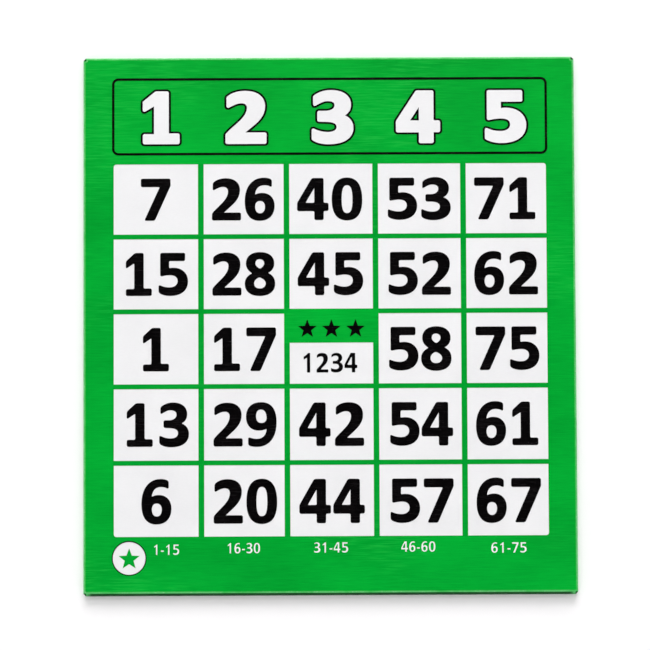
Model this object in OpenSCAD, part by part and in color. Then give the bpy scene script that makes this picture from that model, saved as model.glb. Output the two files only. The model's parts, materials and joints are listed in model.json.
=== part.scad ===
// Bingo card: a grey board wrapped in a printed sheet and lined on the back.
// The card lies face up on its back. X runs across it, Y runs from its foot to its header,
// and the origin is in the middle of the face that it rests on.

/* [Card] */
// Width of the finished card
card_w = 184; // [165:1:230]
// Height of the finished card, foot to header
card_h = 201; // [180:1:250]

/* [Board] */
// Thickness of the grey board
board_t = 2; // [1.2:0.1:4]
// Rounding of the board's long edges, front and back
board_edge_r = 0.5; // [0.2:0.05:0.9]
// Radius of the board's four corners, seen from the front
board_corner_r = 1.1; // [1:0.1:4]

/* [Wrapped sheet] */
// Thickness of the printed sheet that wraps the board
sheet_t = 0.2; // [0.1:0.02:0.4]
// How far the sheet's flaps reach in over the back
turn_in = 14; // [8:0.5:30]
// Gap between two flaps along the mitre at each corner
mitre_gap = 0.6; // [0.2:0.1:1.5]
// Depth below the face at which the slit up each corner stops
slit_stop = 0.2; // [0.1:0.05:0.6]

/* [Back sheet] */
// Thickness of the sheet that lines the back
liner_t = 0.2; // [0.1:0.02:0.4]
// Width of wrapped border left around the liner
liner_inset = 3.5; // [2:0.5:7]
// Run of the slope where the liner drops off the flaps onto the board
step_run = 1.2; // [0.4:0.1:4]
// Clearance between the flaps' ends and the foot of that slope
step_clear = 0.2; // [0.1:0.1:1]

/* [Printing] */
// Thickness of one coat of ink
ink_t = 0.05; // [0.02:0.01:0.08]
// Green margin at each side of the block of cells
side_margin = 11.1; // [9:0.1:20]
// Green margin below the block of cells
foot_margin = 22; // [21.5:0.5:40]
// How far the print stands to the right of the card's middle
print_shift = 0.3; // [-0.8:0.1:0.8]
// Width of the green lines between columns
column_line = 2.1; // [0.6:0.1:4]
// Width of the green lines between rows
row_line = 1.8; // [0.6:0.1:4]
// Radius of the block's four corners
grid_corner_r = 1; // [0.4:0.1:3]

/* [Header] */
// Green margin above the header's frame
header_margin = 7.7; // [4:0.1:20]
// Green margin at each side of the header's frame
header_side = 10.5; // [8:0.1:20]
// Height of the header's frame, over its line
header_h = 29; // [12:0.5:40]
// Distance from the header's frame down to the block of cells
header_gap = 3.4; // [1:0.1:8]
// Width of the frame's line
header_line = 0.9; // [0.3:0.1:2]
// Radius of the frame's corners, over its line
header_corner_r = 2.4; // [2.1:0.1:8]

/* [Free cell and seal] */
// Height of the green strip that holds the stars
strip_h = 10.9; // [8:0.1:16]
// Height of a star in the strip
star_h = 6.6; // [3:0.1:7.4]
// Distance from one star to the next
star_pitch = 9; // [7.5:0.1:10]
// Radius of the white seal at the foot
seal_r = 6.1; // [4.6:0.1:7]
// Width of the dark line around the seal
seal_line = 0.35; // [0.2:0.05:0.8]
// Height of the star in the seal
seal_star_h = 7.4; // [3:0.1:10]
// Distance from the card's left edge to the middle of the seal
seal_side = 17.1; // [11:0.1:20]
// Distance from the card's foot to the middle of the seal
seal_foot = 14.1; // [8:0.1:15]

/* [Hidden] */
$fn = 64;

// Rows and columns, and how the columns share the block's width and the rows its height
row_shares = [0.998, 0.994, 0.994, 1.01, 1.004];
column_shares = [1.028, 0.975, 1.014, 1.003, 0.98];
// The free cell is the middle one
free_row = floor(len(row_shares) / 2);
free_column = floor(len(column_shares) / 2);
stars = 3;
star_points = 5;
// Radius of a star's inner corners, as a share of that of its points
star_waist_share = 0.42;
// How far a cutting solid runs past what it cuts
overrun = 1;

// Heights over the face that the card rests on
flap_step = sheet_t + ink_t;
board_z = liner_t + flap_step;
paper_z = board_z + board_t + sheet_t;
green_z = paper_z + ink_t;

// The board is the finished card less what wraps it
board_w = card_w - 2 * flap_step;
board_h = card_h - 2 * flap_step;
edge_r = min(board_edge_r, board_t / 2);
corner_r = max(board_corner_r, edge_r);
// From the centre of a corner's rounding to where a slit's two edges meet the board's outline
corner_reach = sqrt(pow(corner_r, 2) - pow(mitre_gap / 2, 2));
corner_tip = corner_reach * [cos(45), sin(45)];

// The opening that the flaps leave over the back
opening_w = card_w - 2 * turn_in;
opening_h = card_h - 2 * turn_in;

// The block of cells fills what the margins and the header leave
grid_w = card_w - 2 * side_margin;
grid_h = card_h - foot_margin - header_gap - header_h - header_margin;
grid_x = print_shift - grid_w / 2;
grid_y = foot_margin - card_h / 2;
header_w = card_w - 2 * header_side;

// Sum of a list's first n numbers
function total(list, n) = n == 0 ? 0 : list[n - 1] + total(list, n - 1);

// Cell widths and heights from the shares, and the left or lower edge of each cell
function spans(shares, size, line) =
    let (n = len(shares), room = size - (n - 1) * line)
    [for (share = shares) room * share / total(shares, n)];
function starts(widths, line) = [for (i = [0 : len(widths) - 1]) total(widths, i) + i * line];

column_w = spans(column_shares, grid_w, column_line);
column_x = starts(column_w, column_line);
// Rows are counted from the header down
row_h = spans(row_shares, grid_h, row_line);
row_y = [for (i = [0 : len(row_h) - 1]) grid_h - starts(row_h, row_line)[i] - row_h[i]];
plate_h = row_h[free_row] - strip_h;

// Section through the slab's edge, from the axis of a corner's rounding out to the edge
module edge_section(reach, height, round_r) {
    difference() {
        square([reach, height]);
        for (top = [0, 1]) translate([reach - round_r, top * (height - round_r)])
            difference() {
                square(round_r);
                translate([0, (1 - top) * round_r]) circle(round_r);
            }
    }
}

// The board grown by a coat of that thickness on every side, its edges and corners with it
module coated_board(coat) {
    reach = corner_r + coat;
    height = board_t + 2 * coat;
    straight_w = board_w - 2 * corner_r;
    straight_h = board_h - 2 * corner_r;
    translate([0, 0, board_z - coat]) {
        translate([-straight_w / 2, -straight_h / 2]) cube([straight_w, straight_h, height]);
        for (turn = [0, 1]) rotate(180 * turn) {
            edge_bar(straight_w / 2, straight_h, reach, height, edge_r + coat);
            rotate(90) edge_bar(straight_h / 2, straight_w, reach, height, edge_r + coat);
            for (side = [0, 1]) mirror([0, side, 0]) translate([straight_w / 2, straight_h / 2])
                rotate_extrude(angle = 90) edge_section(reach, height, edge_r + coat);
        }
    }
}

// A straight run of the section, standing off the middle along +X
module edge_bar(stand_off, run, reach, height, round_r) {
    translate([stand_off, run / 2]) rotate([90, 0, 0])
        linear_extrude(run) edge_section(reach, height, round_r);
}

// What the flaps leave open: the middle of the back, and a mitre that runs on up each corner
module back_opening() {
    translate([-opening_w / 2, -opening_h / 2]) cube([opening_w, opening_h, board_z]);
    for (sx = [0, 1], sy = [0, 1]) mirror([sx, 0, 0]) mirror([0, sy, 0]) {
        slit_from([opening_w / 2 - mitre_gap, opening_h / 2 - mitre_gap], turn_in + mitre_gap,
            board_z + edge_r);
        slit_from([board_w / 2 - corner_r, board_h / 2 - corner_r] + corner_tip, corner_r,
            green_z - slit_stop);
    }
}

// A slit from a place outwards over the corner
module slit_from(place, reach, height) {
    translate(place) rotate(45) translate([0, -mitre_gap / 2])
        cube([(reach + overrun) * sqrt(2), mitre_gap, height]);
}

module rounded(w, h, r) {
    translate([r, 0]) square([w - 2 * r, h]);
    translate([0, r]) square([w, h - 2 * r]);
    for (x = [r, w - r], y = [r, h - r]) translate([x, y]) circle(r);
}

module star(height) {
    reach = height / (1 + cos(180 / star_points));
    translate([0, height / 2 - reach])
        polygon([for (i = [0 : 2 * star_points - 1])
            let (r = reach * (i % 2 == 0 ? 1 : star_waist_share), a = 90 + i * 180 / star_points)
            [r * cos(a), r * sin(a)]]);
}

// White fields of the printed block: every cell, but only the plate of the free one
module cell_windows() {
    translate([grid_x, grid_y]) intersection() {
        rounded(grid_w, grid_h, grid_corner_r);
        for (c = [0 : len(column_w) - 1], r = [0 : len(row_h) - 1])
            translate([column_x[c], row_y[r]])
                square([column_w[c], r == free_row && c == free_column ? plate_h : row_h[r]]);
    }
}

module at_seal() {
    translate([seal_side - card_w / 2, seal_foot - card_h / 2]) children();
}

module core_board() {
    color("tan") coated_board(0);
}

module face_sheet() {
    color("white") difference() {
        coated_board(sheet_t);
        coated_board(0);
        back_opening();
    }
}

// The solid green coat, which follows the sheet round the edges and leaves white fields
module green_ink() {
    color("forestgreen") difference() {
        coated_board(sheet_t + ink_t);
        coated_board(sheet_t);
        back_opening();
        translate([0, 0, paper_z]) linear_extrude(overrun) {
            cell_windows();
            at_seal() difference() {
                circle(seal_r);
                star(seal_star_h);
            }
        }
    }
}

// The black coat over the green: header frame, free-cell stars and the line round the seal
module black_ink() {
    free_mid = grid_x + column_x[free_column] + column_w[free_column] / 2;
    strip_mid = grid_y + row_y[free_row] + plate_h + strip_h / 2;
    color("black") translate([0, 0, green_z]) linear_extrude(ink_t) {
        translate([print_shift - header_w / 2, grid_y + grid_h + header_gap]) difference() {
            rounded(header_w, header_h, header_corner_r);
            translate([header_line, header_line])
                rounded(header_w - 2 * header_line, header_h - 2 * header_line,
                    header_corner_r - header_line);
        }
        for (i = [0 : stars - 1])
            translate([free_mid + (i - (stars - 1) / 2) * star_pitch, strip_mid])
                star(star_h);
        at_seal() difference() {
            circle(seal_r + seal_line);
            circle(seal_r);
        }
    }
}

// Ridge along Y whose two sides slope in from its foot to the board's bare middle
module slope_ridge(foot, long) {
    rotate([90, 0, 0]) linear_extrude(long, center = true)
        polygon([[-foot / 2, 0], [foot / 2, 0],
            [foot / 2 - step_run, flap_step], [step_run - foot / 2, flap_step]]);
}

// Block that narrows from the flaps' opening to the board's bare middle
module slope_block() {
    foot_w = opening_w - 2 * step_clear;
    foot_h = opening_h - 2 * step_clear;
    intersection() {
        slope_ridge(foot_w, foot_h);
        rotate(90) slope_ridge(foot_h, foot_w);
    }
}

// The liner lies over the flaps and is pressed down on the bare board between them
module back_sheet() {
    liner_w = card_w - 2 * liner_inset;
    liner_h = card_h - 2 * liner_inset;
    color("whitesmoke") difference() {
        union() {
            translate([-liner_w / 2, -liner_h / 2]) cube([liner_w, liner_h, liner_t]);
            translate([0, 0, liner_t]) slope_block();
        }
        slope_block();
    }
}

core_board();
face_sheet();
green_ink();
black_ink();
back_sheet();
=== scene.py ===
"""Looks of the bingo card: its printed figures, its finishes, and the studio that it lies in.

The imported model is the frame. The card lies face up on its back, X runs across it and Y runs from
its foot to its header. Lengths are in millimetres unless their description says otherwise.
"""
import json
import logging
import math
from dataclasses import dataclass, field
from enum import Enum

import bmesh
import bpy
from bmesh.types import BMesh
from bpy.types import Material, Mesh, NodeSocket, Object
from mathutils import Matrix, Vector


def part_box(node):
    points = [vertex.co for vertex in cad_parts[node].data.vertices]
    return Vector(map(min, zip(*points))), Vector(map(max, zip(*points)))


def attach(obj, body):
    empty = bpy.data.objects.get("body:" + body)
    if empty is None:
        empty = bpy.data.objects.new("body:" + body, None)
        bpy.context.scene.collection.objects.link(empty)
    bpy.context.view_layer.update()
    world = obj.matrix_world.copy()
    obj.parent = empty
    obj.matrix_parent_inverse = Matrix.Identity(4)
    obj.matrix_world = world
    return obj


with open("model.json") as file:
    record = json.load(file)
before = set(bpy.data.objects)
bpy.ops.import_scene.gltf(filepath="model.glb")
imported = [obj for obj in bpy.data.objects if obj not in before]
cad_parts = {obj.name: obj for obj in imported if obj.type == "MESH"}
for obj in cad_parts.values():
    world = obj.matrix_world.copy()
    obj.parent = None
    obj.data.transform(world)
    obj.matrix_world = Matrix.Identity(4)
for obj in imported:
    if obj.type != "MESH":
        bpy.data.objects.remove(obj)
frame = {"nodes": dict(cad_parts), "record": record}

LOG = logging.getLogger("bingo_card")
MM = 0.001
BODY = "root"
Colour = tuple[float, float, float]
# Which of a Mix node's sockets carry colours: its two inputs and its output
MIX_LOW, MIX_HIGH, MIX_COLOUR = 6, 7, 2


# Figures


class Ink(Enum):
    """What a printed figure is made of, by the slot of the record that holds it."""

    BLACK = "black_ink"
    WHITE = "white_paper"


@dataclass(frozen=True)
class Contour:
    """A closed outline in the plane of the print, by the places that it runs through."""

    places: tuple[Vector, ...]

    @classmethod
    def drawn(cls, path: str, steps: int = 10) -> "Contour":
        """Reads an outline: M and L go straight to a place, and C bends to one by two handles.

        Args:
            path: Letters and coordinates, separated by spaces.
            steps: How many straight pieces stand for one bend.

        Returns:
            The outline, its last point joined to its first.
        """
        words = path.split()
        places: list[Vector] = []
        while words:
            letter = words.pop(0)
            count = 3 if letter == "C" else 1
            ends = [Vector((float(words.pop(0)), float(words.pop(0)))) for _ in range(count)]
            if letter == "C":
                start = places[-1]
                for step in range(1, steps + 1):
                    t = step / steps
                    s = 1 - t
                    places.append(s**3 * start + 3 * s * s * t * ends[0]
                                  + 3 * s * t * t * ends[1] + t**3 * ends[2])
            else:
                places.append(ends[0])
        if places[-1] == places[0]:
            places.pop()
        return cls(tuple(places))

    def _legs(self) -> list[tuple[Vector, Vector]]:
        """Returns the ends of each leg, the first leg from the first place."""
        return list(zip(self.places, (*self.places[1:], self.places[0])))

    def _ways(self) -> list[tuple[Vector, Vector]]:
        """Returns, for each place, the unit ways that the outline comes and goes."""
        goes = [(end - start).normalized() for start, end in self._legs()]
        return list(zip((goes[-1], *goes), goes))

    def _split(self, longest: float = 16) -> "Contour":
        """Returns the outline with its legs cut into pieces no longer than that."""
        places: list[Vector] = []
        for start, end in self._legs():
            pieces = math.ceil((end - start).length / longest)
            places += [start.lerp(end, k / pieces) for k in range(pieces)]
        return Contour(tuple(places))

    def _joined(self, straight: float = 0.003, double: float = 0.01) -> "Contour":
        """Returns the outline without its doubles and the places inside straight runs."""
        places: list[Vector] = []
        for place in self.places:
            if not places or (place - places[-1]).length > double:
                places.append(place)
        single = Contour(tuple(places))
        return Contour(tuple(place for place, (came, goes) in zip(places, single._ways())
                             if came.angle(goes) > straight))

    def gap_to(self, place: Vector) -> float:
        """Returns how far a place lies from the outline."""
        gaps = []
        for start, end in self._legs():
            leg = end - start
            share = min(max((place - start).dot(leg) / leg.length_squared, 0), 1)
            gaps.append((start + share * leg - place).length)
        return min(gaps)

    def grown(self, amount: float, clear_share: float = 0.999, level: float = 1e-6) -> "Contour":
        """Moves the outline outwards, and keeps its corners sharp.

        Args:
            amount: How far, or inwards where it is below zero.
            clear_share: The share of that distance from which a moved place counts as clear.
            level: The turn under which two legs count as parallel.

        Returns:
            The outline that runs at that distance, without the loops of tight hollows.
        """
        split = self._split()
        p, n, ways = split.places, len(split.places), split._ways()
        area = sum(p[i - 1].cross(p[i]) for i in range(n))
        out = math.copysign(1, area) * amount
        moved = []
        for place, (came, goes) in zip(p, ways):
            side = Vector((came.y + goes.y, -came.x - goes.x))
            moved.append(place + side * out / (1 + came.dot(goes)))
        clear = [self.gap_to(place) >= clear_share * abs(amount) for place in moved]
        kept = []
        for i in (k for k in range(n) if clear[k]):
            kept.append(moved[i])
            if not clear[(i + 1) % n]:
                j = next(k % n for k in range(i + 1, i + n) if clear[k % n])
                goes, came = ways[i][1], ways[j][0]
                turn = goes.cross(came)
                if abs(turn) > level:
                    kept.append(moved[i] + goes * (moved[j] - moved[i]).cross(came) / turn)
        return Contour(tuple(kept))._joined()

    def softened(self, cut: float, sharp: float = math.radians(28), pieces: int = 4) -> "Contour":
        """Rounds the corners, as ink that has spread does.

        Args:
            cut: How far from a corner, along the outline, its rounding starts.
            sharp: The turn from which a place counts as a corner.
            pieces: How many straight pieces stand for one rounding.

        Returns:
            The outline with each corner replaced by a bend.
        """
        p, n = self.places, len(self.places)
        turns = [came.angle(goes) for came, goes in self._ways()]
        skipped: set[int] = set()
        bends: dict[int, list[Vector]] = {}
        for i in (k for k in range(n) if turns[k] > sharp):
            start, first = self._along(i, -1, cut)
            end, last = self._along(i, 1, cut)
            skipped.update(k % n for k in range(first, last + 1))
            bends[i] = [start.lerp(p[i], t).lerp(p[i].lerp(end, t), t)
                        for t in (k / pieces for k in range(pieces + 1))]
        kept: list[Vector] = []
        for i in range(n):
            kept += bends.get(i, [] if i in skipped else [p[i]])
        return Contour(tuple(kept))

    def _along(self, start: int, step: int, distance: float) -> tuple[Vector, int]:
        """Walks along the outline.

        Args:
            start: The index of the place to start from.
            step: 1 to walk on, or -1 to walk back.
            distance: How far to walk.

        Returns:
            Where the walk ends, and the index of the last place that it passed.
        """
        p, n = self.places, len(self.places)
        here, passed = p[start], start
        while True:
            ahead = p[(passed + step) % n]
            leg = (ahead - here).length
            if leg >= distance:
                return here.lerp(ahead, distance / leg), passed
            distance -= leg
            here, passed = ahead, passed + step


@dataclass(frozen=True)
class Figure:
    """A bold figure, in thousandths of the height of a flat one such as 7.

    Attributes:
        bearing: Room to the left of it.
        round_ends: Whether it is round at the top and foot, and so stands a little past both.
        outer: Its outline.
        inner: The outlines of its closed counters.
        advance: From its start to that of the next figure.
    """

    bearing: float
    round_ends: bool
    outer: str
    inner: tuple[str, ...] = ()
    advance: float = 796


FIGURES = {
    "0": Figure(
        40, True,
        "M 354 1000 C 590 1000 708 830 708 485 C 708 160 590 0 354 0 "
        "C 115 0 0 170 0 490 C 0 830 120 1000 354 1000",
        ("M 354 832 C 262 832 222 730 222 495 C 222 250 262 162 354 162 "
         "C 450 162 490 250 490 495 C 490 740 450 832 354 832",)),
    "1": Figure(
        95, False,
        "M 215 1000 L 412 1000 L 412 165 L 602 165 L 602 3 L 5 3 L 5 152 L 203 152 "
        "L 203 775 L 5 645 L 5 808"),
    "2": Figure(
        65, False,
        "M 22 895 C 95 965 195 1003 325 1003 C 540 1003 650 890 650 725 "
        "C 650 480 460 370 262 178 L 674 178 L 674 2 L 2 2 L 2 160 "
        "C 140 340 382 480 382 690 C 382 765 340 808 258 808 C 175 808 105 765 22 718"),
    "3": Figure(
        60, True,
        "M 35 900 C 110 965 215 1003 325 1003 C 530 1003 652 900 652 745 "
        "C 652 640 600 570 505 532 C 620 500 692 420 692 290 C 692 110 540 0 285 0 "
        "C 170 0 75 25 8 78 L 8 258 C 90 210 180 187 270 187 C 380 187 448 235 448 308 "
        "C 448 395 380 430 245 435 L 108 440 L 108 600 L 240 600 "
        "C 350 605 413 660 413 735 C 413 805 355 840 265 840 C 185 840 115 795 35 745"),
    "4": Figure(
        20, False,
        "M 345 1000 L 613 1000 L 613 405 L 728 405 L 728 220 L 613 220 L 613 3 "
        "L 405 3 L 405 218 L 0 218 L 0 410",
        ("M 405 790 L 405 405 L 180 405",)),
    "5": Figure(
        75, False,
        "M 38 1000 L 613 1000 L 613 820 L 235 820 L 235 635 C 265 645 305 650 350 650 "
        "C 540 650 680 525 680 335 C 680 125 525 0 270 0 C 165 0 65 25 0 75 L 0 250 "
        "C 80 210 160 188 250 188 C 370 188 448 250 448 345 C 448 430 385 487 265 487 "
        "C 185 487 115 475 38 455"),
    "6": Figure(
        45, True,
        "M 628 960 C 580 990 515 1003 440 1003 C 170 1003 0 790 0 450 C 0 150 120 0 345 0 "
        "C 560 0 692 130 692 350 C 692 530 575 645 405 645 C 340 645 280 630 230 600 "
        "C 240 755 320 838 455 838 C 520 838 575 825 628 790",
        ("M 352 468 C 275 468 232 415 232 325 C 232 225 280 165 355 165 "
         "C 432 165 478 230 478 325 C 478 415 432 468 352 468",)),
    "7": Figure(
        55, False,
        "M 8 1000 L 695 1000 L 695 830 L 325 2 L 92 2 L 458 810 L 8 810"),
    "8": Figure(
        35, True,
        "M 350 1000 C 560 1000 682 905 682 745 C 682 645 630 570 528 525 "
        "C 640 480 702 400 702 275 C 702 100 565 0 345 0 C 130 0 0 100 0 275 "
        "C 0 390 65 470 185 515 C 85 570 28 645 28 745 C 28 905 150 1000 350 1000",
        ("M 345 848 C 275 848 238 805 238 750 C 238 700 270 660 355 612 "
         "C 425 660 458 700 458 750 C 458 805 415 848 345 848",
         "M 345 162 C 255 162 207 210 207 285 C 207 345 245 395 340 435 "
         "C 445 390 493 345 493 285 C 493 210 435 162 345 162")),
    "9": Figure(
        35, True,
        "M 50 38 C 100 12 170 0 260 0 C 540 0 706 220 706 550 C 706 850 590 1003 345 1003 "
        "C 130 1003 0 880 0 680 C 0 490 110 370 290 370 C 365 370 430 385 487 415 "
        "C 475 255 390 170 250 170 C 180 170 110 185 50 212",
        ("M 345 848 C 425 848 483 780 483 655 C 483 575 435 530 355 530 "
         "C 270 530 223 590 223 690 C 223 790 270 848 345 848",)),
}

PLAIN_FIGURES = FIGURES | {
    "1": Figure(
        150, False,
        "M 245 1003 L 385 1003 L 385 0 L 185 0 L 185 745 C 130 705 70 670 0 645 L 0 820 "
        "C 100 860 190 920 245 1003"),
    "-": Figure(60, False, "M 0 460 L 345 460 L 345 285 L 0 285", (), 465),
}


@dataclass
class TypeCase:
    """Makes films of ink in the shape of figures, each a unit thick before it is placed.

    Attributes:
        figures: The figures.
        height: What the figures' outlines take as the height of a flat one.
        overshoot: How far a round figure stands past a flat one, at the top and at the foot.
        soft_cut: How far from a corner its rounding starts.
    """

    figures: dict[str, Figure]
    height: float = 1000
    overshoot: float = 10
    soft_cut: float = 40
    _films: dict[tuple, Mesh] = field(default_factory=dict)

    def contours(self, sign: str, weight: float) -> list[Contour]:
        """Returns a figure's outlines, its strokes widened by that weight to each side."""
        outer, inner = self.figures[sign].outer, self.figures[sign].inner
        return [Contour.drawn(path).softened(self.soft_cut).grown(amount)
                for path, amount in ((outer, weight), *((path, -weight) for path in inner))]

    def set_film(self, shape: BMesh, placing: Matrix, sign: str, weight: float,
                 rim: float = 0) -> None:
        """Adds a figure's film, or only a rim round it, to a shape.

        Args:
            shape: The shape.
            placing: The matrix that carries the film, from 0 to 1 in height, to its place.
            sign: The figure.
            weight: How far its strokes are widened to each side.
            rim: Width of the rim round the widened figure, or zero for the figure itself.
        """
        key = (sign, weight, rim)
        if key not in self._films:
            outlines = self.contours(sign, weight)
            if rim:
                outlines += self.contours(sign, weight + rim)
            self._films[key] = flat_film(f"sort_{sign}", outlines)
        film = self._films[key].copy()
        film.transform(placing)
        shape.from_mesh(film)
        bpy.data.meshes.remove(film)

    def width(self, sign: str) -> float:
        """Returns how wide a figure's outline is."""
        places = Contour.drawn(self.figures[sign].outer).places
        return max(p.x for p in places) - min(p.x for p in places)

    def placing(self, sign: str, left: Vector, size: Vector, thickness: float) -> Matrix:
        """Works out how a figure's film is put on the card.

        Args:
            sign: The figure.
            left: The foot of its left edge on the card.
            size: Width and height that a square of the figures' own height takes on the card.
            thickness: Thickness of the film.

        Returns:
            The matrix that carries the film there, in metres.
        """
        past = self.overshoot / self.height if self.figures[sign].round_ends else 0
        spread, drop = 1 + 2 * past, past * size.y
        scale = (size.x / self.height, size.y / self.height * spread, thickness)
        return (Matrix.Scale(MM, 4) @ Matrix.Translation(left - Vector((0, drop, 0)))
                @ Matrix.Diagonal((*scale, 1)))


def flat_film(name: str, contours: list[Contour], merge_share: float = 1e-5) -> Mesh:
    """Fills outlines, takes out every second one that lies inside another, and gives them a height.

    Args:
        name: Name of the mesh.
        contours: The outlines.
        merge_share: The share of the film's length within which places count as one.

    Returns:
        A closed mesh from 0 to 1 in height, its faces pointing out.
    """
    curve = bpy.data.curves.new(name, "CURVE")
    curve.dimensions = "2D"
    curve.fill_mode = "BOTH"
    curve.extrude = 0.5
    for contour in contours:
        spline = curve.splines.new("POLY")
        spline.points.add(len(contour.places) - 1)
        for point, place in zip(spline.points, contour.places):
            point.co = (place.x, place.y, 0, 1)
        spline.use_cyclic_u = True
    holder = bpy.data.objects.new(name, curve)
    bpy.context.scene.collection.objects.link(holder)
    bpy.context.view_layer.update()
    ready = holder.evaluated_get(bpy.context.evaluated_depsgraph_get())
    mesh = bpy.data.meshes.new_from_object(ready)
    bpy.data.objects.remove(holder)
    bpy.data.curves.remove(curve)
    shape = bmesh.new()
    shape.from_mesh(mesh)
    span = max(v.co.y for v in shape.verts) - min(v.co.y for v in shape.verts)
    bmesh.ops.remove_doubles(shape, verts=shape.verts, dist=span * merge_share)
    bmesh.ops.dissolve_degenerate(shape, edges=shape.edges, dist=span * merge_share)
    bmesh.ops.recalc_face_normals(shape, faces=shape.faces)
    bmesh.ops.translate(shape, verts=shape.verts, vec=(0, 0, -min(v.co.z for v in shape.verts)))
    shape.to_mesh(mesh)
    shape.free()
    return mesh


def add_piece(name: str, shape: BMesh, ink: Ink, finishes: "Finishes") -> None:
    """Makes a piece of the card from a finished shape, and lets it ride with the card.

    Args:
        name: The piece's name.
        shape: The shape, in its place and in metres, which is freed.
        ink: What the piece is made of.
        finishes: The card's materials.
    """
    mesh = bpy.data.meshes.new(name)
    shape.to_mesh(mesh)
    shape.free()
    mesh.materials.append(finishes.by_slot[ink.value])
    piece = bpy.data.objects.new(name, mesh)
    bpy.context.scene.collection.objects.link(piece)
    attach(piece, BODY)
    LOG.info("%s: %d faces", name, len(mesh.polygons))


# Shader maths


@dataclass(frozen=True)
class Signal:
    """A value that varies over a surface, and that takes part in sums as a number does.

    Attributes:
        recipe: The material that it belongs to.
        socket: The output that carries it.
    """

    recipe: "Recipe"
    socket: NodeSocket

    def _math(self, operation: str, *values: "Signal | float") -> "Signal":
        """Returns the result of a Math node on values."""
        return self.recipe.node("ShaderNodeMath", {"operation": operation},
                                dict(enumerate(values)))

    def __add__(self, other: "Signal | float") -> "Signal":
        """Returns the sum."""
        return self._math("ADD", self, other)

    __radd__ = __add__

    def __sub__(self, other: "Signal | float") -> "Signal":
        """Returns the difference."""
        return self._math("SUBTRACT", self, other)

    def __rsub__(self, other: "Signal | float") -> "Signal":
        """Returns the difference, taken from a number."""
        return self._math("SUBTRACT", other, self)

    def __mul__(self, other: "Signal | float") -> "Signal":
        """Returns the product."""
        return self._math("MULTIPLY", self, other)

    __rmul__ = __mul__

    def __abs__(self) -> "Signal":
        """Returns the value without its sign."""
        return self._math("ABSOLUTE", self)

    def at_most(self, other: "Signal | float") -> "Signal":
        """Returns the smaller of two values."""
        return self._math("MINIMUM", self, other)

    def at_least(self, other: "Signal | float") -> "Signal":
        """Returns the larger of two values."""
        return self._math("MAXIMUM", self, other)

    def rise(self, low: float, high: float) -> "Signal":
        """Returns 0 below low, 1 above high, and a smooth climb between them."""
        return self.recipe.node(
            "ShaderNodeMapRange", {"interpolation_type": "SMOOTHSTEP"},
            {"Value": self, "From Min": low, "From Max": high}, "Result")

    def fall(self, low: float, high: float) -> "Signal":
        """Returns 1 below low, 0 above high, and a smooth descent between them."""
        return 1 - self.rise(low, high)


class Recipe:
    """A node-based material under one Principled surface, with its places in millimetres."""

    def __init__(self, name: str, specular: float, **constants: float) -> None:
        """Starts the material.

        Args:
            name: Its name.
            specular: Its specular level.
            constants: Socket names, with underscores for spaces, and what they hold all over.
        """
        self.material = bpy.data.materials.new(name)
        self.material.use_nodes = True
        self.tree = self.material.node_tree
        self.surface = next(n for n in self.tree.nodes if n.type == "BSDF_PRINCIPLED")
        self.paint(IOR=1.45, Specular_IOR_Level=specular, **constants)
        metres = self.node("ShaderNodeTexCoord", output="Object")
        self.spot = self.vector("MULTIPLY", metres, (1 / MM, 1 / MM, 1 / MM))

    def node(self, kind: str, settings: dict | None = None, inputs: dict | None = None,
             output: int | str = 0) -> Signal:
        """Adds a node.

        Args:
            kind: The node's type.
            settings: Its properties, which are set first.
            inputs: Values or links of its sockets, by name or number.
            output: Which of its outputs is wanted.

        Returns:
            That output.
        """
        made = self.tree.nodes.new(kind)
        for name, value in (settings or {}).items():
            setattr(made, name, value)
        for key, value in (inputs or {}).items():
            self._feed(made.inputs[key], value)
        return Signal(self, made.outputs[output])

    def vector(self, operation: str, *values: Signal | tuple, output: int | str = 0) -> Signal:
        """Returns the result of a Vector Math node on values."""
        return self.node("ShaderNodeVectorMath", {"operation": operation},
                         dict(enumerate(values)), output)

    def _feed(self, socket: NodeSocket, value: Signal | float | tuple) -> None:
        """Links a signal to a socket, or sets the socket's own value."""
        if isinstance(value, Signal):
            self.tree.links.new(value.socket, socket)
        else:
            socket.default_value = value

    def axis(self, which: int) -> Signal:
        """Returns one coordinate on the piece: 0 for X, 1 for Y and 2 for Z."""
        return self.node("ShaderNodeSeparateXYZ", None, {0: self.spot}, which)

    def noise(self, grain: tuple[float, float, float], detail: float = 2,
              roughness: float = 0.5, shift: float = 0) -> Signal:
        """Returns a smooth random pattern.

        Args:
            grain: Size of its spots along X, Y and Z.
            detail: How many finer layers it has.
            roughness: How strong they are.
            shift: Moves the pattern, so that two differ.

        Returns:
            A value about 0.5.
        """
        place = self.node(
            "ShaderNodeMapping", None,
            {"Vector": self.spot, "Location": (shift, shift / 2, shift / 3),
             "Scale": tuple(1 / size for size in grain)})
        return self.node(
            "ShaderNodeTexNoise", None,
            {"Vector": place, "Scale": 1.0, "Detail": detail, "Roughness": roughness}, "Fac")

    def blend(self, mask: Signal, low: Signal | tuple, high: Signal | tuple) -> Signal:
        """Returns the colour that goes from low to high as the mask goes from 0 to 1."""
        ends = [end if isinstance(end, Signal) else (*end, 1.0) for end in (low, high)]
        return self.node("ShaderNodeMix", {"data_type": "RGBA"},
                         {0: mask, MIX_LOW: ends[0], MIX_HIGH: ends[1]}, MIX_COLOUR)

    def relief(self, height: Signal, depth: float, strength: float) -> Signal:
        """Returns the normal of a surface with that relief, given its full depth."""
        return self.node("ShaderNodeBump", None,
                         {"Strength": strength, "Distance": depth * MM, "Height": height})

    def paint(self, **looks: Signal | float) -> Material:
        """Feeds sockets of the surface.

        Args:
            looks: Socket names, with underscores for spaces, and their signals or values.

        Returns:
            The material.
        """
        for name, value in looks.items():
            self._feed(self.surface.inputs[name.replace("_", " ")], value)
        return self.material


# Finishes


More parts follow.
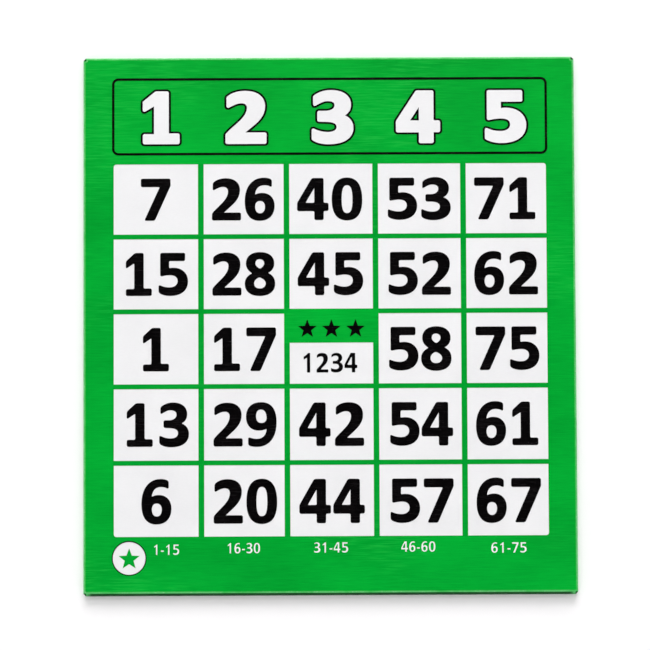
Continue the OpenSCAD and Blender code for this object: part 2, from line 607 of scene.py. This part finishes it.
@dataclass(frozen=True)
class CardEdge:
    """Where a surface lies on the card, for what happens along its edges.

    Attributes:
        half_width: Half the card's width.
        half_height: Half the card's height.
        top: Height of the green coat on the face.
        corner_cut: How far the tip of a corner's tuck stands off both of its edges.
    """

    half_width: float
    half_height: float
    top: float
    corner_cut: float = 0.65

    def depth(self, recipe: Recipe) -> Signal:
        """Returns how far in from the nearest edge a place lies."""
        across = self.half_width - abs(recipe.axis(0))
        along = self.half_height - abs(recipe.axis(1))
        return across.at_most(along)

    def foot(self, recipe: Recipe, start: float, end: float) -> Signal:
        """Returns a mask that rises towards the foot's edge, between two distances from it."""
        return recipe.axis(1).fall(end - self.half_height, start - self.half_height)

    def foot_shade_mask(self, recipe: Recipe, wall: float = 0.85) -> Signal:
        """Returns where painted shade darkens the foot's edge, standing in for the shadow along it.

        Args:
            recipe: The material.
            wall: The share of it that there is under the rounding.

        Returns:
            A mask over the foot's upper rounding, which fades out before the corners.
        """
        height = recipe.axis(2).rise(self.top - 1.05, self.top - 0.65)
        between = abs(recipe.axis(0)).fall(self.half_width - 3.5, self.half_width - 0.5)
        return self.foot(recipe, 1.25, 0.95) * (wall + (1 - wall) * height) * between

    def corner_gap(self, recipe: Recipe) -> Signal:
        """Returns how far from the tip of its corner's tuck a place lies in plan."""
        tip = (self.half_width - self.corner_cut, self.half_height - self.corner_cut, 0)
        plan = recipe.vector("MULTIPLY", recipe.vector("ABSOLUTE", recipe.spot), (1, 1, 0))
        return recipe.vector("DISTANCE", plan, tip, output="Value")


@dataclass(frozen=True)
class Field:
    """An upright rectangle on the card's face, by its middle and its width and height."""

    middle: tuple[float, float]
    size: tuple[float, float]

    def inside(self, recipe: Recipe, soft: float) -> Signal:
        """Returns a mask of the rectangle, which fades within that distance outside it."""
        across, along = (abs(recipe.axis(k) - self.middle[k]).fall(
            self.size[k] / 2, self.size[k] / 2 + soft) for k in (0, 1))
        return across * along


@dataclass(frozen=True)
class GreenPrint:
    """Solid green coat on the wrapped sheet: satin and streaked along X, paler at the edges from
    wear and painted highlight, with painted shade along the foot's edge and at the corners' tucks.
    """

    edge: CardEdge
    block: Field
    strip: Field
    deep: Colour = (0.0, 0.271, 0.0215)
    light: Colour = (0.0008, 0.424, 0.035)
    full: Colour = (0.0006, 0.225, 0.021)
    dry: Colour = (0.016, 0.46, 0.055)
    # Pale green of the edges: rubbed ink and painted highlight.
    rubbed_and_highlit: Colour = (0.17, 0.58, 0.22)
    bare: Colour = (0.62, 0.7, 0.62)
    # Near-black green of the painted shade along the foot's edge and at the tips of the corners'
    # tucks.
    dark_tone: Colour = (0.001, 0.034, 0.006)

    def material(self) -> Material:
        """Returns the coat's material."""
        r = Recipe("green_print", 0.15, Coat_Roughness=0.18, Coat_IOR=1.45)
        streak = r.noise((11, 0.5, 3), detail=3, roughness=0.6)
        thread = r.noise((4, 0.24, 2), shift=4.1)
        # Paler edges: rubbed wear mixed with painted highlight on the rounded edges.
        worn_and_lit = self._wear_and_highlight(r)
        colour = r.blend(0.8 * worn_and_lit, self._coat(r, streak, thread), self.rubbed_and_highlit)
        specks = r.noise((0.5, 0.5, 0.3), detail=3, roughness=0.7, shift=5.7).rise(0.56, 0.68)
        colour = r.blend(0.6 * specks * worn_and_lit, colour, self.bare)
        # Painted shade at the tips of the corners' tucks, where the folds lie in shadow.
        tuck = self.edge.corner_gap(r).fall(0.4, 0.75)
        # Painted shade along the foot's edge, in place of the shadow that lies there.
        line = self.edge.foot_shade_mask(r) * (0.88 + 0.2 * r.noise((9, 2, 2), shift=8.2))
        colour = r.blend((0.96 * line).at_least(0.93 * tuck), colour, self.dark_tone)
        return r.paint(Base_Color=colour, Roughness=0.18 + 0.12 * streak + 0.2 * worn_and_lit,
                       Coat_Weight=0.07 - 0.06 * worn_and_lit,
                       Normal=r.relief(0.6 * streak + 0.4 * thread, 0.02, 0.6))

    def _coat(self, r: Recipe, streak: Signal, thread: Signal) -> Signal:
        """Returns the coat's colour away from the edges.

        Args:
            r: The material.
            streak: Broad streaks along X.
            thread: Fine streaks along X.

        Returns:
            A green that is streaked, clouded, paler where the coat ran dry, and fuller in the
            narrow lines between the cells, where the press squeezed the ink together.
        """
        cloud = r.noise((38, 24, 20), detail=3, shift=9.7)
        tone = 0.9 * streak + 0.6 * thread + 1.3 * cloud - 0.9
        base = r.blend(tone, self.deep, self.light)
        patch = r.noise((55, 40, 30), shift=6.1).rise(0.48, 0.66)
        base = r.blend(0.5 * patch * streak.rise(0.46, 0.68), base, self.dry)
        lines = self.block.inside(r, 0.5) * (1 - self.strip.inside(r, 0.3))
        return r.blend(lines * (0.1 + 0.5 * cloud), base, self.full)

    def _wear_and_highlight(self, r: Recipe) -> Signal:
        """Returns how much paler the coat is made along the edges and round the corners' tucks:
        partly rubbed wear, partly painted highlight where the rounded edges catch the light.
        """
        patch = r.noise((6, 6, 1.2), detail=4, roughness=0.65, shift=2.3).rise(0.3, 0.6)
        # The band a little in from the foot's edge is painted highlight on its rounding.
        rim = self.edge.depth(r).fall(0.25, 1.1).at_least(0.75 * self.edge.foot(r, 1.95, 1.3))
        gap = self.edge.corner_gap(r)
        halo = gap.rise(0.55, 0.8) * gap.fall(0.95, 1.4)
        return (rim * (0.45 + 0.55 * patch)).at_least(0.6 * halo)


@dataclass(frozen=True)
class WhiteSheet:
    """Coated paper that the print leaves white: cool and faintly clouded, with painted shade round
    the corners' tucks.
    """

    edge: CardEdge
    dull: Colour = (0.74, 0.738, 0.748)
    clean: Colour = (0.835, 0.833, 0.843)
    # Dark colour of the painted shade at the tucks.
    dark_tone: Colour = (0.03, 0.04, 0.026)

    def material(self) -> Material:
        """Returns the paper's material."""
        r = Recipe("white_sheet", 0.3)
        cloud = r.noise((22, 16, 9), detail=3, shift=1.3)
        fibre = r.noise((1.6, 0.35, 0.5), detail=3, roughness=0.6, shift=5.2)
        tone = 1.1 * cloud + 0.6 * fibre - 0.35
        # Painted shade: the paper darkens towards the tips of the corners' tucks, where the slits
        # lie in shadow.
        colour = r.blend(0.9 * self.edge.corner_gap(r).fall(1.5, 4),
                         r.blend(tone, self.dull, self.clean), self.dark_tone)
        return r.paint(Base_Color=colour, Roughness=0.44 + 0.12 * fibre,
                       Normal=r.relief(fibre, 0.012, 0.5))


@dataclass(frozen=True)
class BlackPrint:
    """Solid black coat: deep, with faint dry streaks along X."""

    full: Colour = (0.0012, 0.0009, 0.0011)
    dry: Colour = (0.0045, 0.0036, 0.0041)

    def material(self) -> Material:
        """Returns the coat's material."""
        r = Recipe("black_print", 0.13)
        streak = r.noise((6, 0.7, 2), detail=3, roughness=0.6, shift=7.9)
        cloud = r.noise((9, 7, 5), shift=3.6)
        dry = (0.6 * streak + 0.4 * cloud).rise(0.42, 0.68)
        return r.paint(Base_Color=r.blend(dry, self.full, self.dry),
                       Roughness=0.19 + 0.14 * streak, Normal=r.relief(streak, 0.01, 0.4))


@dataclass(frozen=True)
class GreyBoard:
    """Recycled board: matted fibres with dark and pale specks, with painted shade near its edges,
    where the slits show it.
    """

    edge: CardEdge
    dark: Colour = (0.21, 0.18, 0.15)
    pale: Colour = (0.4, 0.36, 0.3)
    # Dark colour of the painted shade near the edges.
    dark_tone: Colour = (0.045, 0.038, 0.03)

    def material(self) -> Material:
        """Returns the board's material."""
        r = Recipe("grey_board", 0.2)
        mat = r.noise((1.8, 1.8, 0.5), detail=5, roughness=0.65)
        speck = r.noise((0.5, 0.5, 0.3), detail=1, shift=6.4)
        tone = (0.7 * mat + 0.3 * speck).rise(0.3, 0.7)
        # Painted shade: the board darkens within a few millimetres of its edges, which show only in
        # the shadowed slits at the corners.
        colour = r.blend(0.85 * self.edge.depth(r).fall(1, 4),
                         r.blend(tone, self.dark, self.pale), self.dark_tone)
        return r.paint(Base_Color=colour, Roughness=0.81 + 0.1 * mat,
                       Normal=r.relief(mat, 0.05, 0.8))


@dataclass(frozen=True)
class LinerPaper:
    """Plain uncoated paper on the back: off-white, with fibre flecks and soiling at its rim."""

    edge: CardEdge
    inset: float = 3.5
    warm: Colour = (0.68, 0.655, 0.6)
    clean: Colour = (0.78, 0.765, 0.72)
    fleck: Colour = (0.42, 0.36, 0.28)
    dark_tone: Colour = (0.52, 0.49, 0.43)

    def material(self) -> Material:
        """Returns the liner's material."""
        r = Recipe("liner_paper", 0.25)
        cloud = r.noise((12, 9, 5), detail=4, roughness=0.6)
        fibre = r.noise((2.2, 0.3, 0.4), detail=3, shift=3.3)
        tone = 1.1 * cloud + 0.7 * fibre - 0.4
        flecks = r.noise((1.4, 0.5, 0.5), detail=1, shift=8.8).rise(0.71, 0.76)
        paper = r.blend(0.5 * flecks, r.blend(tone, self.warm, self.clean), self.fleck)
        rim = self.edge.depth(r).fall(self.inset, self.inset + 2.5)
        colour = r.blend(0.5 * rim * r.noise((7, 7, 3), detail=3, shift=1.9), paper, self.dark_tone)
        return r.paint(Base_Color=colour, Roughness=0.73 + 0.1 * fibre,
                       Normal=r.relief(fibre, 0.02, 0.6))


@dataclass
class Finishes:
    """The card's materials, and which slot each belongs to.

    Attributes:
        edge: Where the card's edges are.
        block: The block of cells.
        strip: The solid strip in the free cell.
    """

    edge: CardEdge
    block: Field
    strip: Field
    by_slot: dict[str, Material] = field(default_factory=dict)

    def mix(self) -> None:
        """Makes every material."""
        self.by_slot = {
            "green_ink": GreenPrint(self.edge, self.block, self.strip).material(),
            "white_paper": WhiteSheet(self.edge).material(),
            "black_ink": BlackPrint().material(),
            "grey_board": GreyBoard(self.edge).material(),
            "liner_paper": LinerPaper(self.edge).material(),
        }

    def dress(self) -> None:
        """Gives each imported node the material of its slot."""
        for row in frame["record"]["subparts"]:
            node = frame["nodes"][row["node"]]
            for slot in node.material_slots:
                slot.material = self.by_slot[row["material_slot"]]
            LOG.info("%s: dressed in %s", node.name, row["material_slot"])


# Sub-assemblies of the print


@dataclass
class CellGrid:
    """The block of cells, as the part's source lays it out.

    Attributes:
        width: Width of the block.
        height: Height of the block.
        left: Where its left edge stands.
        foot: Where its lower edge stands.
        column_line: Width of the lines between columns.
        row_line: Width of the lines between rows.
        strip_height: Height of the solid strip at the top of the free cell.
        column_shares: How the columns share the width.
        row_shares: How the rows share the height, from the header down.
        free_cell: Row and column of the free cell, counted from 0.
    """

    width: float = 161.8
    height: float = 138.9
    left: float = -80.6
    foot: float = -78.5
    column_line: float = 2.1
    row_line: float = 1.8
    strip_height: float = 10.9
    column_shares: tuple[float, ...] = (1.028, 0.975, 1.014, 1.003, 0.98)
    row_shares: tuple[float, ...] = (0.998, 0.994, 0.994, 1.01, 1.004)
    free_cell: tuple[int, int] = (2, 2)

    @staticmethod
    def _span(shares: tuple[float, ...], size: float, line: float,
              which: int) -> tuple[float, float]:
        """Returns the middle and size of a span that shares a size with the lines between."""
        room = size - (len(shares) - 1) * line
        widths = [room * share / sum(shares) for share in shares]
        return sum(widths[:which]) + which * line + widths[which] / 2, widths[which]

    def block(self) -> Field:
        """Returns the block's outline."""
        return Field((self.left + self.width / 2, self.foot + self.height / 2),
                     (self.width, self.height))

    def cell(self, row: int, column: int) -> Field:
        """Returns a cell, counted from the top left."""
        x, width = self._span(self.column_shares, self.width, self.column_line, column)
        y, height = self._span(self.row_shares, self.height, self.row_line, row)
        return Field((self.left + x, self.foot + self.height - y), (width, height))

    def strip(self) -> Field:
        """Returns the solid strip in the free cell, with the lines on three sides of it."""
        cell = self.cell(*self.free_cell)
        top = cell.middle[1] + cell.size[1] / 2
        return Field((cell.middle[0], top + (self.row_line - self.strip_height) / 2),
                     (cell.size[0] + 2 * self.column_line, self.strip_height + self.row_line))


@dataclass
class CellNumbers:
    """The card's 24 numbers in bold black.

    Attributes:
        case: Where the figures come from.
        grid: The cells that they stand in.
        floor: Height of the paper that carries them.
        thickness: Thickness of the ink.
        breadth: Width that a square of the figures' own height takes.
        spread: How far the ink has spread past the outlines, in the figures' own units.
        heights: Height of a flat figure in each row, from the header down.
        feet: How far below a cell's middle its figures stand, in each row.
        shifts: How far right of a cell's middle its number is printed, in each row.
        numbers: The numbers, row by row, with an empty one for the free cell.
    """

    case: TypeCase
    grid: CellGrid
    floor: float
    thickness: float
    breadth: float = 15.85
    spread: float = 6.5
    heights: tuple[float, ...] = (15.6, 15.9, 16.05, 16.05, 16.25)
    feet: tuple[float, ...] = (7.9, 8.0, 8.2, 8.05, 8.35)
    shifts: tuple[float, ...] = (-0.2, -0.1, -0.05, 0.2, 0.2)
    numbers: tuple[tuple[str, ...], ...] = (
        ("7", "26", "40", "53", "71"),
        ("15", "28", "45", "52", "62"),
        ("1", "17", "", "58", "75"),
        ("13", "29", "42", "54", "61"),
        ("6", "20", "44", "57", "67"),
    )

    def build(self, finishes: Finishes) -> None:
        """Prints each number into its cell."""
        for row, line in enumerate(self.numbers):
            for column, text in enumerate(line):
                if text:
                    self._number(row, column, text, finishes)

    def _number(self, row: int, column: int, text: str, finishes: Finishes) -> None:
        """Makes one number.

        Args:
            row: Its row, from the header down.
            column: Its column, from the left.
            text: Its figures.
            finishes: The card's materials.
        """
        unit = self.breadth / self.case.height
        middle = Vector(self.grid.cell(row, column).middle)
        figures = [self.case.figures[sign] for sign in text]
        left = middle.x + self.shifts[row] - sum(f.advance for f in figures) / 2 * unit
        size = Vector((self.breadth, self.heights[row]))
        shape = bmesh.new()
        for sign, figure in zip(text, figures):
            foot = Vector((left + figure.bearing * unit, middle.y - self.feet[row], self.floor))
            placing = self.case.placing(sign, foot, size, self.thickness)
            self.case.set_film(shape, placing, sign, self.spread)
            left += figure.advance * unit
        add_piece(f"number_{row + 1}_{column + 1}", shape, Ink.BLACK, finishes)


@dataclass
class HeaderFigures:
    """The header's white figures with their black rims, one over each column.

    Attributes:
        case: Where the figures come from.
        floor: Height of the green coat that carries them.
        thickness: Thickness of the white and of the rims.
        signs: The figures from left to right.
        middles: Where the middle of each stands.
        foot: Where the rims' lower edges stand.
        height: Height of the rims.
        stretch: Width of the figures, against those in the cells.
        weight: How far the strokes are widened, in the figures' own units.
        rim: Width of the rims.
    """

    case: TypeCase
    floor: float
    thickness: float
    signs: str = "12345"
    middles: tuple[float, ...] = (-62.9, -31.1, 1.2, 33.4, 66.2)
    foot: float = 67.2
    height: float = 21.4
    stretch: float = 1.12
    weight: float = 26
    rim: float = 0.72

    def build(self, finishes: Finishes) -> None:
        """Prints the figures and their rims."""
        full = self.case.height + 2 * self.weight
        body = (self.height - 2 * self.rim) * self.case.height / full
        rim = self.rim / body * self.case.height
        size = Vector((body * self.stretch, body))
        foot = self.foot + self.rim + self.weight / self.case.height * body
        for sign, middle in zip(self.signs, self.middles):
            left = Vector((middle - self.case.width(sign) / self.case.height * size.x / 2,
                           foot, self.floor))
            placing = self.case.placing(sign, left, size, self.thickness)
            for name, width, ink in (("face", 0, Ink.WHITE), ("rim", rim, Ink.BLACK)):
                shape = bmesh.new()
                self.case.set_film(shape, placing, sign, self.weight, width)
                add_piece(f"header_{name}_{sign}", shape, ink, finishes)


@dataclass(frozen=True)
class SmallPrint:
    """A line of small plain figures.

    Attributes:
        name: Name of the piece.
        text: What it says.
        middle: Its middle on the card.
        width: Width of the whole line.
        height: Height of its figures.
        weight: How far the strokes are widened, in the figures' own units.
        ink: What it is made of.
    """

    name: str
    text: str
    middle: tuple[float, float]
    width: float
    height: float = 3.8
    weight: float = -32
    ink: Ink = Ink.WHITE

    def build(self, case: TypeCase, floor: float, thickness: float, finishes: Finishes) -> None:
        """Prints the line.

        Args:
            case: Where the figures come from.
            floor: Height of what carries it.
            thickness: Thickness of the print.
            finishes: The card's materials.
        """
        shape = bmesh.new()
        left = 0.0
        for sign in self.text:
            placing = Matrix.Translation((left + case.figures[sign].bearing, 0, 0))
            case.set_film(shape, placing, sign, self.weight)
            left += case.figures[sign].advance
        low, high = (Vector([pick(v.co[k] for v in shape.verts) for k in range(3)])
                     for pick in (min, max))
        span = high - low
        scale = (self.width / span.x, self.height / span.y, thickness)
        placing = (Matrix.Scale(MM, 4) @ Matrix.Translation((*self.middle, floor))
                   @ Matrix.Diagonal((*scale, 1))
                   @ Matrix.Translation((-(low.x + high.x) / 2, -(low.y + high.y) / 2, 0)))
        bmesh.ops.transform(shape, matrix=placing, verts=shape.verts)
        add_piece(self.name, shape, self.ink, finishes)


FREE_CELL_NUMBER = SmallPrint("free_cell_number", "1234", (0.2, -14.05), 20.0, 7.3, -12, Ink.BLACK)
RANGES = (
    SmallPrint("range_1", "1-15", (-60.95, -83.25), 9.25),
    SmallPrint("range_2", "16-30", (-32.25, -82.8), 11.9),
    SmallPrint("range_3", "31-45", (0.15, -82.7), 12.6),
    SmallPrint("range_4", "46-60", (32.55, -82.5), 12.6),
    SmallPrint("range_5", "61-75", (66.25, -83.0), 13.1),
)


# Studio


@dataclass(frozen=True)
class Softbox:
    """A rectangular lamp that looks at the card.

    Attributes:
        name: Its name.
        bearing: Where it stands round the card, in degrees from +X.
        height: Its angle over the floor, in degrees.
        distance: Its distance from the card, in metres.
        width: Its width, in metres.
        power: Its power in watts.
        depth: Its other side, in metres.
    """

    name: str
    bearing: float
    height: float
    distance: float
    width: float
    power: float
    depth: float = 1.7

    def hang(self) -> None:
        """Hangs the lamp, hidden from the camera itself."""
        lamp = bpy.data.lights.new(self.name, "AREA")
        lamp.shape = "RECTANGLE"
        lamp.size = self.width
        lamp.size_y = self.depth
        lamp.energy = self.power
        holder = bpy.data.objects.new(self.name, lamp)
        turn, lift = math.radians(self.bearing), math.radians(self.height)
        away = Vector((math.cos(turn) * math.cos(lift), math.sin(turn) * math.cos(lift),
                       math.sin(lift)))
        holder.location = away * self.distance
        holder.rotation_euler = away.to_track_quat("Z", "Y").to_euler()
        holder.visible_camera = False
        bpy.context.scene.collection.objects.link(holder)


@dataclass
class Studio:
    """A pale floor that turns up into a wall all round, its lamps, and the camera.

    Attributes:
        radius: Radius of the flat floor, in metres.
        sweep: Radius of the turn from floor to wall, in metres.
        wall: Height of the wall, in metres.
        glow: How bright the far floor and the wall are of themselves, against going grey.
        room_light: How bright the room over the wall is.
        lens: The camera's focal length.
        camera_place: Where the camera is, in metres.
        camera_turn: How it is turned from looking straight down, in degrees.
        lamps: The lamps.
    """

    radius: float = 3.6
    sweep: float = 0.6
    wall: float = 2.2
    glow: float = 0.3
    room_light: float = 0.015
    lens: float = 85
    camera_place: tuple[float, float, float] = (-0.003323, -0.016859, 0.575243)
    camera_turn: tuple[float, float, float] = (1.689, -0.148, -0.25)
    lamps: tuple[Softbox, ...] = (
        Softbox("key_header_side", 90, 26, 3.9, 2.7, 122),
        Softbox("fill_right", 0, 50, 3.6, 1.7, 17),
        Softbox("fill_left", 180, 50, 3.6, 1.7, 17.5),
        Softbox("fill_foot", 270, 50, 3.6, 1.7, 22),
        Softbox("fill_header", 90, 54, 3.6, 2.3, 37),
    )

    def build(self) -> None:
        """Sets up the floor, the lamps, the surroundings and the camera."""
        self._floor()
        for lamp in self.lamps:
            lamp.hang()
        self._surroundings()
        self._camera()

    def _floor(self, turn_steps: int = 12, round_steps: int = 96) -> Object:
        """Makes the floor and wall as one sheet spun round the card.

        Args:
            turn_steps: Straight pieces in the turn from floor to wall.
            round_steps: Straight pieces in the way round the card.

        Returns:
            The floor.
        """
        angles = [math.pi / 2 * step / turn_steps for step in range(turn_steps + 1)]
        turn = [(self.radius + self.sweep * math.sin(angle), 0,
                 self.sweep * (1 - math.cos(angle))) for angle in angles]
        profile = [(0, 0, 0), *turn, (self.radius + self.sweep, 0, self.wall)]
        shape = bmesh.new()
        verts = [shape.verts.new(place) for place in profile]
        edges = [shape.edges.new(pair) for pair in zip(verts, verts[1:])]
        bmesh.ops.spin(shape, geom=[*verts, *edges], cent=(0, 0, 0), axis=(0, 0, 1),
                       dvec=(0, 0, 0), angle=2 * math.pi, steps=round_steps, use_merge=True)
        bmesh.ops.remove_doubles(shape, verts=shape.verts, dist=0.1 * MM)
        bmesh.ops.recalc_face_normals(shape, faces=shape.faces)
        if sum(face.normal.z * face.calc_area() for face in shape.faces) < 0:
            bmesh.ops.reverse_faces(shape, faces=shape.faces)
        mesh = bpy.data.meshes.new("studio_floor")
        shape.to_mesh(mesh)
        shape.free()
        mesh.shade_smooth()
        mesh.materials.append(self._floor_material())
        floor = bpy.data.objects.new("studio_floor", mesh)
        bpy.context.scene.collection.objects.link(floor)
        return floor

    def _floor_material(self) -> Material:
        """Returns the floor's pale matt material."""
        r = Recipe("pale_floor", 0.0, Roughness=1.0, Emission_Strength=self.glow)
        cloud = r.noise((180, 180, 180))
        near = r.blend(cloud, (0.937, 0.928, 0.935), (0.953, 0.944, 0.951))
        away = r.vector("LENGTH", r.spot, output="Value")
        return r.paint(Base_Color=r.blend(away.rise(150, 500), near, (0.95, 0.94, 0.945)),
                       Emission_Color=r.blend(away.rise(500, 2500), (0, 0, 0), (1, 1, 1)))

    def _surroundings(self) -> None:
        """Gives the room over the wall a dim, even light."""
        world = bpy.data.worlds.new("studio_room")
        world.use_nodes = True
        sky = next(n for n in world.node_tree.nodes if n.type == "BACKGROUND")
        sky.inputs["Color"].default_value = (1, 1, 1, 1)
        sky.inputs["Strength"].default_value = self.room_light
        bpy.context.scene.world = world
        bpy.context.scene.view_settings.view_transform = "Standard"

    def _camera(self) -> None:
        """Places the camera over the card, a hair off square as in the photo."""
        optics = bpy.data.cameras.new("camera")
        optics.lens = self.lens
        optics.clip_start = 0.01
        camera = bpy.data.objects.new("camera", optics)
        camera.location = self.camera_place
        camera.rotation_euler = [math.radians(angle) for angle in self.camera_turn]
        bpy.context.scene.collection.objects.link(camera)
        bpy.context.scene.camera = camera


def main() -> None:
    """Dresses the card, prints its figures and sets up the studio."""
    logging.basicConfig(level=logging.INFO, format="%(name)s: %(message)s")
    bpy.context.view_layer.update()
    low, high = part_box("green_ink")
    green_top = high.z / MM
    ink_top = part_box("black_ink")[1].z / MM
    ink = ink_top - green_top
    paper_top = green_top - ink
    grid = CellGrid()
    edge = CardEdge((high.x - low.x) / 2 / MM, (high.y - low.y) / 2 / MM, green_top)
    finishes = Finishes(edge, grid.block(), grid.strip())
    finishes.mix()
    finishes.dress()
    CellNumbers(TypeCase(FIGURES), grid, paper_top, ink).build(finishes)
    HeaderFigures(TypeCase(FIGURES, soft_cut=12), green_top, ink).build(finishes)
    plain = TypeCase(PLAIN_FIGURES)
    FREE_CELL_NUMBER.build(plain, paper_top, ink, finishes)
    for line in RANGES:
        line.build(plain, green_top, ink, finishes)
    Studio().build()


if __name__ == "__main__":
    main()
